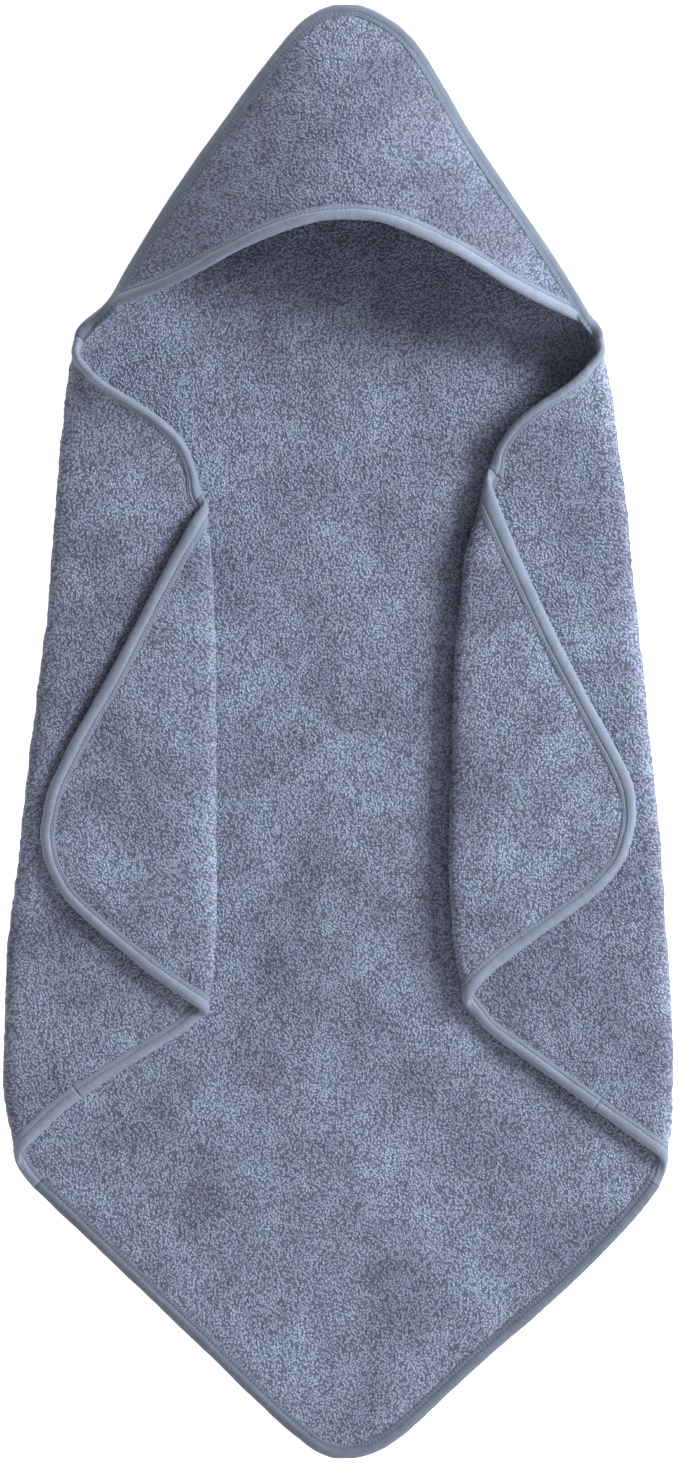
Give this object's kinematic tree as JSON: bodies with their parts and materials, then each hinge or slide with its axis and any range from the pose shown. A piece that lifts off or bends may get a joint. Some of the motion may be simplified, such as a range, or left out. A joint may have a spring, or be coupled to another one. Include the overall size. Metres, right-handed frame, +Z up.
{
  "type": "hooded baby towel",
  "caption": "Square terry baby towel with a stand-up hood over one corner and a smooth bound edge, lying with its sides folded in and out again.",
  "frame": {"origin": "middle of the base, on the floor under the main panel", "axes": "+Y along the towel to the hood's tip, +Z up off the floor, +X to the right of the hood seen from above"},
  "size_m": [0.473, 1.0112, 0.0925],
  "materials": {
    "terry": "blue-grey cotton terry, looped on both faces, matte",
    "hood_terry": "blue-grey cotton terry, looped outside, matte",
    "binding_tape": "smooth plain-woven bias tape, slightly lighter than the terry, faint sheen",
    "sewing_thread": "polyester sewing thread, faint sheen"
  },
  "bodies": {
    "root": {"main_panel": "terry", "left_waist_binding": "binding_tape", "right_waist_binding": "binding_tape"},
    "foot_corner": {"foot_corner_panel": "terry", "foot_corner_binding": "binding_tape", "foot_corner_stitching": "sewing_thread"},
    "left_side": {"left_side_panel": "terry", "left_neck_binding": "binding_tape", "left_neck_stitching": "sewing_thread", "left_hem_binding": "binding_tape", "left_hem_stitching": "sewing_thread"},
    "left_corner": {"left_corner_panel": "terry", "left_corner_binding": "binding_tape", "left_corner_stitching": "sewing_thread"},
    "right_side": {"right_side_panel": "terry", "right_neck_binding": "binding_tape", "right_neck_stitching": "sewing_thread", "right_hem_binding": "binding_tape", "right_hem_stitching": "sewing_thread"},
    "right_corner": {"right_corner_panel": "terry", "right_corner_binding": "binding_tape", "right_corner_stitching": "sewing_thread"},
    "hood": {"hood_back_panel": "terry", "hood_front_panel": "hood_terry", "hood_mouth_binding": "binding_tape", "hood_mouth_stitching": "sewing_thread", "hood_rim_binding": "binding_tape", "hood_rim_stitching": "sewing_thread"}
  },
  "joints": [
    {"name": "left_side_fold", "type": "hinge", "parent": "root", "child": "left_side", "pos_m": [-0.1905, 0.25, 0.0066], "axis": [-0.0836, -0.9965, 0], "range_deg": [0, 179]},
    {"name": "left_corner_fold", "type": "hinge", "parent": "left_side", "child": "left_corner", "pos_m": [-0.0885, 0.16, 0.0138], "axis": [0, -1, 0], "range_deg": [-179, 0]},
    {"name": "right_side_fold", "type": "hinge", "parent": "root", "child": "right_side", "pos_m": [0.1905, 0.25, 0.0066], "axis": [-0.0836, 0.9965, 0], "range_deg": [0, 179]},
    {"name": "right_corner_fold", "type": "hinge", "parent": "right_side", "child": "right_corner", "pos_m": [0.097, 0.174, 0.0138], "axis": [0.0467, 0.9989, 0], "range_deg": [-179, 0]},
    {"name": "hood_tilt", "type": "hinge", "parent": "root", "child": "hood", "pos_m": [0, 0.268, 0.0066], "axis": [1, 0, 0], "range_deg": [0, 75]},
    {"name": "foot_fold", "type": "hinge", "parent": "root", "child": "foot_corner", "pos_m": [0, -0.34, 0.0066], "axis": [-1, 0, 0], "range_deg": [0, 179]}
  ],
  "couplings": [
    {"joint": "left_corner_fold", "follows": "left_side_fold", "ratio": -1},
    {"joint": "right_corner_fold", "follows": "right_side_fold", "ratio": -1}
  ]
}
